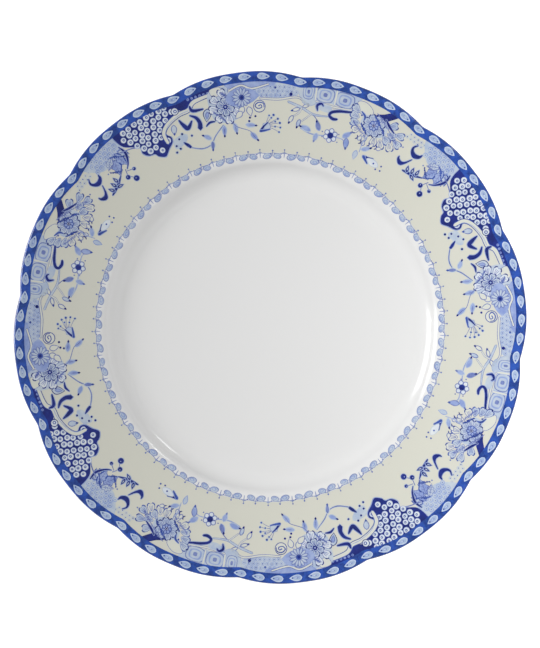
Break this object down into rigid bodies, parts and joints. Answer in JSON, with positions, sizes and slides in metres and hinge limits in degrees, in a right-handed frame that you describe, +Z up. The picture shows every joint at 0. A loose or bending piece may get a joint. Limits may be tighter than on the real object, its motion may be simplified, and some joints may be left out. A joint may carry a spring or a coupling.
{
  "type": "dinner plate",
  "caption": "Scalloped blue-and-white china dinner plate with a printed floral border on a cream rim and a cobalt edge band.",
  "frame": {"origin": "centre of the foot ring's resting plane", "axes": "+Z up, out of the face of the plate; +X and +Y in the resting plane, through two of the four quarters' joins"},
  "size_m": [0.2728, 0.2728, 0.0241],
  "materials": {
    "porcelain": "matt",
    "clear_glaze": "gloss",
    "cream_ground": "gloss",
    "cobalt_enamel": "gloss",
    "pale_blue_enamel": "gloss",
    "printed_blue": "gloss",
    "lavender_print": "gloss"
  },
  "bodies": {
    "root": {"porcelain_body": "porcelain", "glaze_coat": "clear_glaze", "base_glaze": "clear_glaze", "rim_ground": "cream_ground", "edge_band": "cobalt_enamel", "edge_leaves": "pale_blue_enamel", "lace_ring": "lavender_print", "border_transfer_1": "printed_blue", "border_transfer_2": "printed_blue", "border_transfer_3": "printed_blue", "border_transfer_4": "printed_blue"}
  },
  "joints": []
}
